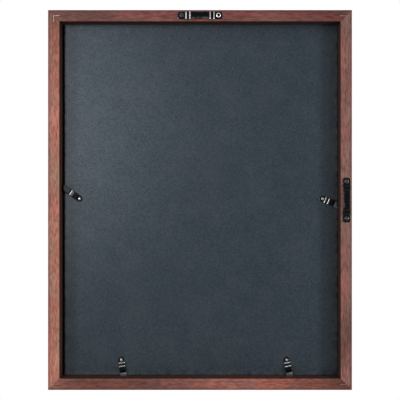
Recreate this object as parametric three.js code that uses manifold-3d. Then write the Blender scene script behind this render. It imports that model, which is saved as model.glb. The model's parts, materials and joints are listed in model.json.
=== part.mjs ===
// Coin display frame: a mitred wooden frame, 12 by 15 inches outside, that hangs on a wall and shows coins.
//
// From the front it holds a glass pane, a coin tray (a pierced face sheet on a plain base sheet) and a backing
// board. The board's top edge is tucked into a groove in the top rail. Four spring clips are riveted to the
// board, and their tips turn into a saw kerf that runs along the other three rails. V-nails tie the mitred
// corners, and a sawtooth hanger on two of the rails lets the frame hang upright or on its side.
//
// Millimetres, +Z up. Left and right are as seen from the front, which faces -Y. The origin is where a nail
// carries the frame: the middle notch of the top hanger, in the plane of the rails' back faces.

import * as THREE from "three";
import { mergeVertices } from "three/addons/utils/BufferGeometryUtils.js";
import Module from "manifold-3d";

const wasm = await Module();
wasm.setup();

// ---- Driving dimensions ----

// Frame
const frameWidth = 304.8;
const frameHeight = 381;
const railWidth = 19.05; // on the front, from the outer edge to the sight edge
const railBackWidth = 11.4; // on the back, from the outer edge to the recess
const outerArris = 0.8; // rounding of the outer back edge
const innerArris = 0.4; // chamfer of the recess's back edge
const frontLip = 5.15; // thickness of the rails in front of the glass
const frontRound = 4; // rounding of the outer front edge
const beadWidth = 3.2; // lowered bead beside the sight edge
const beadStep = 1;
const beadRadius = 1.6;
const mitreGap = 0.1; // glue line

// Stack inside the frame, from the back
const recessDepth = 14; // rails' back face to the backing board
const boardThickness = 3;
const baseThickness = 1.8;
const faceThickness = 4.6;
const glassThickness = 2;
const stackGap = 0.3; // between one sheet and the next
const sheetClearance = 1.4; // each side, between the recess and a sheet centred in it
const seatGap = 0.3; // under a sheet's lower edge, and beside the rail that the board has settled against
const boardBevel = 0.7;
const boardTuck = 3; // how far the board's top edge reaches into its groove
const tuckGap = 0.3; // around that edge
const tuckEndGap = 1;

// Coin tray
const coinColumns = 4;
const coinRows = 5;
const coinHole = 41; // diameter, for coins of up to 40 mm

// Spring clips and their rivets
const clipWidth = 6.4;
const clipThickness = 0.6;
const clipLength = 21.3; // from the rivet to the tip
const clipTipCorner = 0.8;
const clipStep = 0.9; // rise of each of the two steps, and drop to the tip
const clipSteps = [2.4, 5.7, 11.4]; // where each step begins, from the rivet
const clipStepRun = 1.1;
const clipLift = 0.2; // running gap between the board and the clip
const rivetShankRadius = 1.25;
const rivetHeadRadius = 2.1;
const rivetHeadHeight = 1.3;
const rivetHeadRim = 0.3;
const rivetTailThickness = 0.8;
const rivetClearance = 0.15;
const rivetPocketDepth = 1.1; // in the board's front face, for the tail
const kerfWidth = 1.6;
const kerfClearance = 0.3; // behind the clip's tip
const kerfEndClearance = 0.4; // past the clip's tip when it points straight at the rail
const sideRivetRise = 1.2; // above the frame's middle

const tipGrip = 0.77; // how far the tip that enters its kerf least still reaches into it

// Each clip: the rail that it locks to, where its rivet is along that rail, and its turn from square to the rail.
const clipPlaces = [
  { rail: "left", along: sideRivetRise, turn: -22 },
  { rail: "right", along: sideRivetRise, turn: -35 },
  { rail: "bottom", along: 81.3, turn: 8, name: "bottom_right" },
  { rail: "bottom", along: -87.3, turn: 10.5, name: "bottom_left" },
];

// Hangers and their screws
const hangerLength = 45;
const hangerWidth = 7.6;
const hangerThickness = 0.8;
const hangerStep = 0.9; // rise of each of the two steps at either end
const hangerSteps = [7.9, 11.8]; // where each step begins, from the end
const hangerStepRun = 1.2;
const hangerEndCorner = 2.4;
const hangerBarInset = 0.5; // the bar's plain edge is this far inside the tabs' edge
const notchPitch = 2.4;
const notchDepth = 1.4;
const screwInset = 4; // from the hanger's end
const screwHeadRadius = 2.4;
const screwHeadHeight = 1.3;
const screwShankRadius = 0.8;
const screwThreadRadius = 1.1;
const screwThreads = 4;
const screwPitch = 1.6;
const screwPlain = 1.4; // unthreaded length under the head
const screwPoint = 2;
const screwHoleClearance = 0.15;
const crossWidth = 0.7; // the head's cross recess
const crossLength = 2.8;
const crossDepth = 0.8;

// V-nails
const vNailInset = 5.7; // apex, from both outer edges
const vNailWing = 6.5;
const vNailThickness = 0.7;
const vNailHeight = 9.5;
const vNailsPerCorner = 2;
const vNailSunk = 0.15; // below the back face
const vNailClearance = 0.12;

// ---- Derived places ----

const degree = Math.PI / 180;

const recessWidth = frameWidth - 2 * railBackWidth;
const recessHeight = frameHeight - 2 * railBackWidth;
const sightWidth = frameWidth - 2 * railWidth;
const sightHeight = frameHeight - 2 * railWidth;

const boardBack = -recessDepth;
const boardFront = boardBack - boardThickness;
const baseBack = boardFront - stackGap;
const faceBack = baseBack - baseThickness - stackGap;
const glassBack = faceBack - faceThickness - stackGap;
const ledge = glassBack - glassThickness - stackGap;
const frameFront = ledge - frontLip;

const sheetWidth = recessWidth - 2 * sheetClearance;
const sheetHeight = recessHeight - 2 * sheetClearance;
const sheetBottom = -recessHeight / 2 + seatGap;
const boardShift = seatGap - sheetClearance; // the board has settled against the left rail
const boardTop = recessHeight / 2 + boardTuck;

const tipLow = clipLift + clipStep;
const kerfBack = tipLow + clipThickness + kerfClearance; // above the board's back face
const clipReach = Math.hypot(clipLength, clipWidth / 2);
const railGaps = { left: seatGap, right: 2 * sheetClearance - seatGap, bottom: seatGap }; // rail to board
const rivetToKerf = clipPlaces.map(({ rail, turn }) => turnedReach(turn) - railGaps[rail]);
const rivetInset = Math.min(...rivetToKerf) - tipGrip; // from the board's edge
const kerfDepth = clipReach + kerfEndClearance - rivetInset - seatGap;
const rivetHeadLow = clipLift + clipThickness + rivetClearance;

const hangerMiddle = railBackWidth / 2; // from the rail's outer edge
const notchTip = hangerWidth / 2; // teeth end level with the tabs' edge
const notchRoot = notchTip - notchDepth;
const hangerBarLength = hangerLength - 2 * (hangerSteps[1] + hangerStepRun);
const notchPairs = Math.floor((hangerBarLength / notchPitch - 1) / 2);
const notchCount = 2 * notchPairs + 1; // odd, so that one is in the middle
const screwSpacing = hangerLength - 2 * screwInset;
const frameMiddle = hangerMiddle + notchRoot - frameHeight / 2;

// How far a turned clip reaches towards its rail from its rivet, at the rounded corner of its tip.
function turnedReach(turn) {
  const angle = Math.abs(turn) * degree;
  const [along, across] = [clipLength - clipTipCorner, clipWidth / 2 - clipTipCorner];
  return along * Math.cos(angle) + across * Math.sin(angle) + clipTipCorner;
}

// ---- Materials ----

const wood = new THREE.MeshStandardMaterial({ color: 0x8a5245, roughness: 0.55 });
const blackSheet = new THREE.MeshStandardMaterial({ color: 0x3d444a, roughness: 0.6 });
const velvet = new THREE.MeshStandardMaterial({ color: 0x14151a, roughness: 1 });
const clearGlass = new THREE.MeshStandardMaterial({
  color: 0xeef4f2,
  roughness: 0.05,
  transparent: true,
  opacity: 0.2,
});
const blackSteel = new THREE.MeshStandardMaterial({ color: 0x202224, roughness: 0.35, metalness: 0.9 });
const brightSteel = new THREE.MeshStandardMaterial({ color: 0x9a948a, roughness: 0.4, metalness: 1 });

// ---- Helpers ----

const X = new THREE.Vector3(1, 0, 0);
const Y = new THREE.Vector3(0, 1, 0);
const Z = new THREE.Vector3(0, 0, 1);

function solid(geometry) {
  const bare = geometry.index ? geometry.toNonIndexed() : geometry.clone();
  bare.deleteAttribute("normal");
  bare.deleteAttribute("uv");
  const merged = mergeVertices(bare);
  return new wasm.Manifold(
    new wasm.Mesh({
      numProp: 3,
      vertProperties: merged.attributes.position.array,
      triVerts: new Uint32Array(merged.index.array),
    }),
  );
}

function geometryOf(manifold) {
  const { vertProperties, triVerts } = manifold.getMesh();
  const geometry = new THREE.BufferGeometry();
  geometry.setAttribute("position", new THREE.BufferAttribute(vertProperties, 3));
  geometry.setIndex(new THREE.BufferAttribute(triVerts, 1));
  const flat = geometry.toNonIndexed();
  flat.computeVertexNormals();
  return flat;
}

function cut(from, ...tools) {
  return tools.reduce((rest, tool) => rest.subtract(solid(tool)), from);
}

// A straight extrusion of a shape, from 0 to depth.
function extrude(shape, depth, curveSegments = 8) {
  return new THREE.ExtrudeGeometry(shape, { depth, curveSegments, steps: 1, bevelEnabled: false });
}

// The same geometry with its own x, y and z turned to these axes.
function turned(geometry, x, y, z) {
  return geometry.applyMatrix4(new THREE.Matrix4().makeBasis(x, y, z));
}

function box(x0, x1, y0, y1, z0, z1) {
  const geometry = new THREE.BoxGeometry(x1 - x0, y1 - y0, z1 - z0);
  return geometry.translate((x0 + x1) / 2, (y0 + y1) / 2, (z0 + z1) / 2);
}

// A round bar along Y.
function bar(radius, y0, y1, segments = 16) {
  return new THREE.CylinderGeometry(radius, radius, y1 - y0, segments).translate(0, (y0 + y1) / 2, 0);
}

function lathe(points, segments) {
  return new THREE.LatheGeometry(points.map(([r, y]) => new THREE.Vector2(r, y)), segments);
}

function polygon(points) {
  return new THREE.Shape(points.map(([x, y]) => new THREE.Vector2(x, y)));
}

function place(parent, name, geometry, material) {
  const mesh = new THREE.Mesh(geometry, material);
  mesh.name = name;
  parent.add(mesh);
  return mesh;
}

// ---- Rails ----

// A rail stands in its own frame: x from its outer edge inwards, y as in the frame, z along it from its middle.
// These turns about Y bring x onto the direction that points inwards.
const railTurns = { left: 0, right: 180, bottom: -90, top: 90 };

function railGroup(rail) {
  const upright = rail === "left" || rail === "right";
  const offset = (upright ? frameWidth : frameHeight) / 2;
  const group = new THREE.Group();
  group.rotation.y = railTurns[rail] * degree;
  group.position.copy(X).applyAxisAngle(Y, group.rotation.y).multiplyScalar(-offset);
  return group;
}

// The moulding's section, with a groove in the recess wall between two heights.
function railSection(grooveBack, grooveFront, grooveDepth) {
  const face = frameFront + beadStep;
  const section = new THREE.Shape();
  section.moveTo(railBackWidth - innerArris, 0);
  section.lineTo(outerArris, 0);
  section.absarc(outerArris, -outerArris, outerArris, Math.PI / 2, Math.PI, false);
  section.lineTo(0, frameFront + frontRound);
  section.absarc(frontRound, frameFront + frontRound, frontRound, Math.PI, 1.5 * Math.PI, false);
  section.lineTo(railWidth - beadWidth, frameFront);
  section.lineTo(railWidth - beadWidth, face);
  section.lineTo(railWidth - beadRadius, face);
  section.absarc(railWidth - beadRadius, face + beadRadius, beadRadius, 1.5 * Math.PI, 2 * Math.PI, false);
  section.lineTo(railWidth, ledge);
  section.lineTo(railBackWidth, ledge);
  section.lineTo(railBackWidth, grooveFront);
  section.lineTo(railBackWidth - grooveDepth, grooveFront);
  section.lineTo(railBackWidth - grooveDepth, grooveBack);
  section.lineTo(railBackWidth, grooveBack);
  section.lineTo(railBackWidth, -innerArris);
  return section;
}

// The section run along the rail, with both ends mitred: each end point moves in by its distance from the
// outer edge.
function mitredRail(section, length) {
  const geometry = extrude(section, length, 6);
  const position = geometry.attributes.position;
  const trim = (mitreGap / 2) * Math.SQRT2;
  for (let i = 0; i < position.count; i++) {
    const inwards = position.getX(i);
    const end = length / 2 - inwards - trim;
    position.setZ(i, position.getZ(i) > 0 ? end : -end);
  }
  return geometry;
}

function makeRail(rail) {
  const group = railGroup(rail);
  const upright = rail === "left" || rail === "right";
  const length = upright ? frameHeight : frameWidth;
  const section =
    rail === "top"
      ? railSection(boardBack + tuckGap, boardFront - tuckGap, boardTuck + tuckEndGap)
      : railSection(boardBack + kerfBack, boardBack + kerfBack - kerfWidth, kerfDepth);
  let body = solid(mitredRail(section, length));
  const pocket = vNailCutter();
  body = cut(
    body,
    pocket.clone().translate(0, 0, -length / 2),
    pocket.clone().rotateY(90 * degree).translate(0, 0, length / 2),
  );
  if (rail === "top" || rail === "left") {
    body = cut(body, ...screwPlaces().map((z) => pilotHole().translate(hangerMiddle, 0, z)));
    addHanger(group, rail === "top" ? "top" : "side");
  }
  place(group, `${rail}_rail`, geometryOf(body), wood);
  return group;
}

// ---- V-nails ----

// A right-angled strip with its apex towards the corner at the origin and its wings along +x and +z, grown by
// a margin.
function vNail(margin, back, front) {
  const near = vNailInset - vNailThickness / 2 - margin;
  const far = vNailInset + vNailThickness / 2 + margin;
  const end = vNailInset + vNailWing + margin;
  const outline = polygon([
    [near, near],
    [end, near],
    [end, far],
    [far, far],
    [far, end],
    [near, end],
  ]);
  return turned(extrude(outline, back - front), X, Z, Y.clone().negate()).translate(0, back, 0);
}

function vNailCutter() {
  const depth = vNailSunk + vNailsPerCorner * (vNailHeight + vNailClearance) + vNailClearance;
  return vNail(vNailClearance, 1, -depth);
}

function makeVNails(parent) {
  const corners = [
    { name: "bottom_left", x: -1, z: -1, turn: 0 },
    { name: "top_left", x: -1, z: 1, turn: 90 },
    { name: "top_right", x: 1, z: 1, turn: 180 },
    { name: "bottom_right", x: 1, z: -1, turn: -90 },
  ];
  for (const { name, x, z, turn } of corners) {
    for (let i = 0; i < vNailsPerCorner; i++) {
      const back = -vNailSunk - i * (vNailHeight + vNailClearance);
      const nail = vNail(0, back, back - vNailHeight);
      const mesh = place(parent, `v_nail_${name}_${i + 1}`, nail, brightSteel);
      mesh.rotation.y = turn * degree;
      mesh.position.set((x * frameWidth) / 2, 0, (z * frameHeight) / 2);
    }
  }
}

// ---- Sheets ----

function makeGlass(parent) {
  const half = sheetWidth / 2;
  const pane = box(-half, half, glassBack - glassThickness, glassBack, sheetBottom, sheetBottom + sheetHeight);
  place(parent, "glass_pane", pane, clearGlass);
}

// Coin centres, with equal gaps between the holes and to the sight edges.
function coinCentres() {
  const gapX = (sightWidth - coinColumns * coinHole) / (coinColumns + 1);
  const gapZ = (sightHeight - coinRows * coinHole) / (coinRows + 1);
  const centres = [];
  for (let row = 0; row < coinRows; row++) {
    for (let column = 0; column < coinColumns; column++) {
      centres.push([
        (column - (coinColumns - 1) / 2) * (coinHole + gapX),
        (row - (coinRows - 1) / 2) * (coinHole + gapZ),
      ]);
    }
  }
  return centres;
}

function makeCoinTray(parent) {
  const half = sheetWidth / 2;
  const sheetTop = sheetBottom + sheetHeight;
  const base = box(-half, half, baseBack - baseThickness, baseBack, sheetBottom, sheetTop);
  place(parent, "coin_tray_base", base, velvet);

  const outline = polygon([
    [-half, sheetBottom],
    [half, sheetBottom],
    [half, sheetTop],
    [-half, sheetTop],
  ]);
  for (const [x, z] of coinCentres()) {
    outline.holes.push(new THREE.Path().absarc(x, z, coinHole / 2, 0, 2 * Math.PI, true));
  }
  const face = turned(extrude(outline, faceThickness, 12), X, Z, Y.clone().negate());
  place(parent, "coin_tray_face", face.translate(0, faceBack, 0), velvet);
}

// The board, bevelled behind on the three edges that show and pierced for its rivets.
function makeBackingBoard(parent) {
  const half = sheetWidth / 2;
  const height = boardTop - sheetBottom;
  const section = polygon([
    [-half, 0],
    [half, 0],
    [half, boardThickness - boardBevel],
    [half - boardBevel, boardThickness],
    [-half + boardBevel, boardThickness],
    [-half, boardThickness - boardBevel],
  ]);
  const lowerEdge = polygon([
    [-1, boardThickness - boardBevel - 1],
    [boardBevel + 1, boardThickness + 1],
    [-1, boardThickness + 1],
  ]);
  const sheet = extrude(section, height).translate(0, boardFront, sheetBottom);
  const bevelTool = turned(extrude(lowerEdge, 2 * half + 2), Z, Y, X.clone().negate());
  let board = cut(solid(sheet), bevelTool.translate(half + 1, boardFront, sheetBottom));
  for (const { x, z } of clipPlaces.map(clipPivot)) {
    const shankHole = bar(rivetShankRadius + rivetClearance, boardFront - 1, boardBack + 1);
    const tailPocket = bar(rivetHeadRadius + rivetClearance, boardFront - 1, boardFront + rivetPocketDepth);
    const centre = x - boardShift;
    board = cut(board, shankHole.translate(centre, 0, z), tailPocket.translate(centre, 0, z));
  }
  place(parent, "backing_board", geometryOf(board), blackSheet).position.x = boardShift;
}

// ---- Spring clips ----

// The rivet's place in the frame, and the turn about Y that points the clip's x at its rail.
function clipPivot({ rail, along, turn }) {
  const edge = sheetWidth / 2 - rivetInset;
  if (rail === "left") return { x: boardShift - edge, z: along, turn: 180 + turn };
  if (rail === "right") return { x: boardShift + edge, z: along, turn };
  return { x: boardShift + along, z: sheetBottom + rivetInset, turn: 90 + turn };
}

// A bent strip seen from its side: points of its lower line, and the same line raised by its thickness.
function stripSection(line, thickness) {
  const raised = line.map(([x, y]) => [x, y + thickness]);
  return polygon([...line, ...raised.reverse()]);
}

function clipGeometry() {
  const end = -clipWidth / 2;
  const [first, second, drop] = clipSteps;
  const line = [
    [end, clipLift],
    [first, clipLift],
    [first + clipStepRun, clipLift + clipStep],
    [second, clipLift + clipStep],
    [second + clipStepRun, clipLift + 2 * clipStep],
    [drop, clipLift + 2 * clipStep],
    [drop + clipStepRun, tipLow],
    [clipLength, tipLow],
  ];
  const side = extrude(stripSection(line, clipThickness), clipWidth).translate(0, 0, end);

  const plan = new THREE.Shape();
  plan.absarc(0, 0, clipWidth / 2, Math.PI / 2, 1.5 * Math.PI, false);
  plan.absarc(clipLength - clipTipCorner, end + clipTipCorner, clipTipCorner, -Math.PI / 2, 0, false);
  plan.absarc(clipLength - clipTipCorner, -end - clipTipCorner, clipTipCorner, 0, Math.PI / 2, false);
  const outline = turned(extrude(plan, 4 * clipStep, 5), X, Z.clone().negate(), Y);
  const blank = solid(side).intersect(solid(outline));
  return geometryOf(cut(blank, bar(rivetShankRadius + rivetClearance, 0, 2 * clipStep)));
}

// Domed head behind the clip, shank through the board and flared tail in the board's front face.
function rivetGeometry() {
  const tailFront = -boardThickness + rivetPocketDepth - rivetTailThickness - rivetClearance;
  const tailBack = tailFront + rivetTailThickness;
  const domeSteps = 3;
  const profile = [
    [0, tailFront],
    [rivetHeadRadius, tailFront],
    [rivetHeadRadius, tailBack],
    [rivetShankRadius, tailBack],
    [rivetShankRadius, rivetHeadLow],
    [rivetHeadRadius, rivetHeadLow],
  ];
  for (let i = 0; i <= domeSteps; i++) {
    const angle = (i / domeSteps) * (Math.PI / 2);
    const rise = (rivetHeadHeight - rivetHeadRim) * Math.sin(angle);
    profile.push([i === domeSteps ? 0 : rivetHeadRadius * Math.cos(angle), rivetHeadLow + rivetHeadRim + rise]);
  }
  return lathe(profile, 16);
}

function makeClips(parent) {
  const clip = clipGeometry();
  const rivet = rivetGeometry();
  for (const spot of clipPlaces) {
    const name = spot.name ?? spot.rail;
    const { x, z, turn } = clipPivot(spot);
    const strip = place(parent, `spring_clip_${name}`, clip, blackSteel);
    strip.position.set(x, boardBack, z);
    strip.rotation.y = turn * degree;
    place(parent, `clip_rivet_${name}`, rivet, blackSteel).position.set(x, boardBack, z);
  }
}

// ---- Hangers ----

function screwPlaces() {
  return [-screwSpacing / 2, screwSpacing / 2];
}

function pilotHole() {
  const reach = screwPlain + screwThreads * screwPitch + screwPoint;
  return bar(screwThreadRadius + screwHoleClearance, hangerThickness - reach - 1, 1, 12);
}

// Half of the hanger's lower line as seen from its side, from the middle of the bar to one end.
function hangerHalfLine() {
  const half = hangerLength / 2;
  const [outer, inner] = hangerSteps.map((step) => half - step);
  return [
    [inner - hangerStepRun, 2 * hangerStep],
    [inner, hangerStep],
    [outer - hangerStepRun, hangerStep],
    [outer, 0],
    [half, 0],
  ];
}

// Plan of the hanger: x along it, y towards the toothed edge.
function hangerPlan() {
  const half = hangerLength / 2;
  const corner = hangerEndCorner;
  const edge = hangerWidth / 2;
  const barEnd = hangerBarLength / 2;
  const teethEnd = (notchCount * notchPitch) / 2;
  const plan = new THREE.Shape();
  plan.moveTo(-barEnd, -edge + hangerBarInset);
  plan.lineTo(barEnd, -edge + hangerBarInset);
  plan.lineTo(barEnd, -edge);
  plan.absarc(half - corner, -edge + corner, corner, -Math.PI / 2, 0, false);
  plan.absarc(half - corner, edge - corner, corner, 0, Math.PI / 2, false);
  for (let i = 0; i < notchCount; i++) {
    const start = teethEnd - i * notchPitch;
    plan.lineTo(start, notchTip);
    plan.lineTo(start - notchPitch / 2, notchRoot);
  }
  plan.lineTo(-teethEnd, notchTip);
  plan.absarc(corner - half, edge - corner, corner, Math.PI / 2, Math.PI, false);
  plan.absarc(corner - half, -edge + corner, corner, Math.PI, 1.5 * Math.PI, false);
  plan.lineTo(-barEnd, -edge);
  return plan;
}

function hangerGeometry() {
  const right = hangerHalfLine();
  const left = right.map(([x, y]) => [-x, y]).reverse();
  const section = stripSection([...left, ...right], hangerThickness);
  const side = extrude(section, hangerWidth).translate(0, 0, -hangerWidth / 2);
  const height = 2 * hangerStep + hangerThickness + 2;
  const outline = turned(extrude(hangerPlan(), height, 6), Z, X, Y).translate(0, -1, 0);
  const blank = solid(turned(side, Z, Y, X.clone().negate())).intersect(solid(outline));
  const hole = () => bar(screwThreadRadius + screwHoleClearance, -1, hangerThickness + 1, 12);
  return geometryOf(cut(blank, ...screwPlaces().map((z) => hole().translate(0, 0, z))));
}

// A pan-head screw with a cross recess; the thread is a row of ridges.
function screwGeometry() {
  const head = hangerThickness;
  const threadTop = head - screwPlain;
  const threadEnd = threadTop - screwThreads * screwPitch;
  const headSteps = 3;
  const profile = [[0, threadEnd - screwPoint]];
  for (let i = screwThreads; i > 0; i--) {
    const low = threadTop - i * screwPitch;
    profile.push([screwShankRadius, low], [screwThreadRadius, low + screwPitch / 2]);
  }
  profile.push([screwShankRadius, threadTop], [screwShankRadius, head], [screwHeadRadius, head]);
  for (let i = 1; i <= headSteps; i++) {
    const angle = (i / headSteps) * (Math.PI / 2);
    const radius = i === headSteps ? 0 : screwHeadRadius * Math.cos(angle) ** 0.5;
    profile.push([radius, head + screwHeadHeight * Math.sin(angle)]);
  }
  const top = head + screwHeadHeight;
  const [long, wide] = [crossLength / 2, crossWidth / 2];
  return geometryOf(
    cut(
      solid(lathe(profile, 12)),
      box(-long, long, top - crossDepth, top + 1, -wide, wide),
      box(-wide, wide, top - crossDepth, top + 1, -long, long),
    ),
  );
}

function addHanger(railFrame, name) {
  place(railFrame, `${name}_hanger`, hangerGeometry(), blackSteel).position.x = hangerMiddle;
  const screw = screwGeometry();
  screwPlaces().forEach((z, i) => {
    place(railFrame, `${name}_hanger_screw_${i + 1}`, screw, blackSteel).position.set(hangerMiddle, 0, z);
  });
}

// ---- Assembly ----

const coinFrame = new THREE.Group();
coinFrame.position.z = frameMiddle;
for (const rail of ["top", "bottom", "left", "right"]) coinFrame.add(makeRail(rail));
makeVNails(coinFrame);
makeGlass(coinFrame);
makeCoinTray(coinFrame);
makeBackingBoard(coinFrame);
makeClips(coinFrame);

export default coinFrame;
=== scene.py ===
import json
import math
from contextlib import contextmanager

import bmesh
import bpy
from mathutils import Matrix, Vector, noise


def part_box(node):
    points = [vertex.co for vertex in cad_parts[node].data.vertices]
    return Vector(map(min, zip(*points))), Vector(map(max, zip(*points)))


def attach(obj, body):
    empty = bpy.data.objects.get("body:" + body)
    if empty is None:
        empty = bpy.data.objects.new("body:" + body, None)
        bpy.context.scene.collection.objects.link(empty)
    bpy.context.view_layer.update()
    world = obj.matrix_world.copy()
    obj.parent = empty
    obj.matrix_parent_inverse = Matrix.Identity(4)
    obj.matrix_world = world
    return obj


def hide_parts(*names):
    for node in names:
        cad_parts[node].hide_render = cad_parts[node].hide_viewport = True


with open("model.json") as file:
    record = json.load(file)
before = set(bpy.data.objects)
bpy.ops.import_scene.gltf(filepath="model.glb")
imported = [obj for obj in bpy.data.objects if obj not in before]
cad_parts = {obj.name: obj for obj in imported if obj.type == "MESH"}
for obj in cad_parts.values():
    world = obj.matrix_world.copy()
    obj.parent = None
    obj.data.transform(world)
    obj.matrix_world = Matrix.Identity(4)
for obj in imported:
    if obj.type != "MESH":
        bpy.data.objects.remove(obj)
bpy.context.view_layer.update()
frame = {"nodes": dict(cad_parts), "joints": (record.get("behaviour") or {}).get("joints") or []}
mm = 0.001
print("frame loaded:", len(frame["nodes"]), "nodes")

outerLow = Vector((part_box("left_rail")[0].x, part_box("left_rail")[0].y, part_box("bottom_rail")[0].z))
outerHigh = Vector((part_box("right_rail")[1].x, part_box("left_rail")[1].y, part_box("top_rail")[1].z))
middle = (outerLow + outerHigh) / 2
pivots = {joint["child"]: Vector(joint["pos_m"]) for joint in frame["joints"]}
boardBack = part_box("backing_board")[1].y


@contextmanager
def meshEdit(mesh):
    bm = bmesh.new()
    bm.from_mesh(mesh)
    yield bm
    bm.to_mesh(mesh)
    bm.free()


def makePiece(name, verts, faces, body=None, slot=None, replaced=(), smooth=True):
    # a mesh piece in the frame's own axes, with its faces turned outwards
    mesh = bpy.data.meshes.new(name)
    mesh.from_pydata([tuple(v) for v in verts], [], faces)
    mesh.update()
    with meshEdit(mesh) as bm:
        bmesh.ops.remove_doubles(bm, verts=bm.verts, dist=1e-7)
        bmesh.ops.recalc_face_normals(bm, faces=bm.faces)
    piece = bpy.data.objects.new(name, mesh)
    bpy.context.scene.collection.objects.link(piece)
    if smooth:
        mesh.polygons.foreach_set("use_smooth", [True] * len(mesh.polygons))
    if body:
        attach(piece, body)
        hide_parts(*replaced)
    return piece


def applyModifiers(piece):
    depsgraph = bpy.context.evaluated_depsgraph_get()
    mesh = bpy.data.meshes.new_from_object(piece.evaluated_get(depsgraph))
    piece.modifiers.clear()
    piece.data = mesh


def joinShapes(shapes):
    verts, faces = [], []
    for shapeVerts, shapeFaces in shapes:
        faces += [[i + len(verts) for i in face] for face in shapeFaces]
        verts += shapeVerts
    return verts, faces


def cutAway(piece, shapes):
    # takes closed shapes out of the piece
    modifier = piece.modifiers.new("cut", "BOOLEAN")
    modifier.operation = "DIFFERENCE"
    modifier.solver = "EXACT"
    modifier.use_self = False
    modifier.object = cutter = makePiece("cutter", *joinShapes(shapes), smooth=False)
    applyModifiers(piece)
    bpy.data.objects.remove(cutter)


def paintMask(piece, name, values):
    piece.data.attributes.new(name, "FLOAT", "POINT").data.foreach_set("value", values)


def smoothByAngle(piece, degrees):
    # smooth shading, with a crease wherever two faces meet more sharply than this
    with meshEdit(piece.data) as bm:
        for face in bm.faces:
            face.smooth = True
        for edge in bm.edges:
            edge.smooth = len(edge.link_faces) == 2 and edge.calc_face_angle(0) < math.radians(degrees)


def ease(t):
    t = min(max(t, 0.0), 1.0)
    return t * t * (3 - 2 * t)


def ramp(t, soft=0.22):
    # 0 to 1 in a straight slope that is only eased at its two ends
    t = min(max(t, 0.0), 1.0)
    slope = 1 / (1 - soft)
    if t < soft:
        return slope * t * t / (2 * soft)
    if t > 1 - soft:
        return 1 - slope * (1 - t) ** 2 / (2 * soft)
    return slope * (t - soft / 2)


def bell(distance, width):
    # 1 at no distance, and falling away on both sides
    return math.exp(-(distance / width) ** 2)


def offAxis(point, centre):
    # distance in mm from a line that runs from back to front
    return math.hypot(point.x - centre.x, point.z - centre.z) / mm


def arc(centreX, centreY, radius, start, end, steps):
    # points on an arc, with its angles in degrees
    angles = [math.radians(start + (end - start) * i / steps) for i in range(steps + 1)]
    return [(centreX + radius * math.cos(a), centreY + radius * math.sin(a)) for a in angles]


def finePath(points, longest):
    # the same closed outline, with no side longer than this
    fine = []
    for i, (x0, y0) in enumerate(points):
        x1, y1 = points[(i + 1) % len(points)]
        parts = max(1, math.ceil(math.hypot(x1 - x0, y1 - y0) / longest))
        fine += [(x0 + (x1 - x0) * k / parts, y0 + (y1 - y0) * k / parts) for k in range(parts)]
    return fine


def latheMesh(profile, segments, place):
    # profile is (radius, height) from one end of the axis to the other, and place turns it into the frame
    verts, faces, rings = [], [], []
    for radius, height in profile:
        if radius < 1e-6:
            rings.append([len(verts)] * segments)
            verts.append(place(0, 0, height))
            continue
        rings.append(list(range(len(verts), len(verts) + segments)))
        for i in range(segments):
            a = 2 * math.pi * i / segments
            verts.append(place(radius * math.cos(a), radius * math.sin(a), height))
    for low, high in zip(rings, rings[1:]):
        for i in range(segments):
            j = (i + 1) % segments
            corners = list(dict.fromkeys([low[i], low[j], high[j], high[i]]))
            if len(corners) > 2:
                faces.append(corners)
    return verts, faces


def loftLoops(loops, closedEnds=True):
    # joins loops of equal length into a tube, with a face on each end
    count = len(loops[0])
    verts = [p for loop in loops for p in loop]
    faces = []
    for k in range(len(loops) - 1):
        for i in range(count):
            j = (i + 1) % count
            faces.append([k * count + i, k * count + j, (k + 1) * count + j, (k + 1) * count + i])
    if closedEnds:
        faces.append(list(range(count)))
        faces.append([(len(loops) - 1) * count + i for i in range(count)])
    return verts, faces


def feed(tree, node, **values):
    # a number or colour is set on the node's input, and another node's output is linked to it
    for name, value in values.items():
        setOrLink(tree, value, node.inputs[name])


def setOrLink(tree, value, socket):
    if isinstance(value, (int, float)):
        socket.default_value = value
    elif isinstance(value, (tuple, list)):
        socket.default_value = (*value, 1) if socket.type == "RGBA" else value
    else:
        tree.links.new(value, socket)


def addNode(tree, kind, inputs=None, **settings):
    node = tree.nodes.new(kind)
    for key, value in settings.items():
        setattr(node, key, value)
    for name, value in (inputs or {}).items():
        node.inputs[name].default_value = value
    return node


def mathNode(tree, operation, first, second):
    node = addNode(tree, "ShaderNodeMath", operation=operation)
    setOrLink(tree, first, node.inputs[0])
    setOrLink(tree, second, node.inputs[1])
    return node.outputs[0]


def times(tree, first, second):
    return mathNode(tree, "MULTIPLY", first, second)


def plus(tree, first, second):
    return mathNode(tree, "ADD", first, second)


def mixColour(tree, factor, first, second, blend="MIX"):
    node = addNode(tree, "ShaderNodeMix", data_type="RGBA", blend_type=blend)
    for i, value in ((0, factor), (6, first), (7, second)):  # a Mix node's factor and its two colours
        setOrLink(tree, value, node.inputs[i])
    return node.outputs[2]


def spread(tree, value, low, high, newLow=0.0, newHigh=1.0):
    # maps low..high to newLow..newHigh and holds it there
    node = addNode(tree, "ShaderNodeMapRange", clamp=True)
    for i, given in enumerate((value, low, high, newLow, newHigh)):
        setOrLink(tree, given, node.inputs[i])
    return node.outputs[0]


def noiseOf(tree, vector, scale, detail=3.0, roughness=0.55):
    node = addNode(tree, "ShaderNodeTexNoise")
    feed(tree, node, Vector=vector, Scale=scale, Detail=detail, Roughness=roughness)
    return node.outputs[0]


def stretchedNoise(tree, vector, scales, detail=3.0, roughness=0.55):
    node = addNode(tree, "ShaderNodeMapping")
    feed(tree, node, Vector=vector, Scale=scales)
    return noiseOf(tree, node.outputs[0], 1.0, detail, roughness)


def attributeOf(tree, name):
    return addNode(tree, "ShaderNodeAttribute", attribute_name=name).outputs["Fac"]


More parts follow.
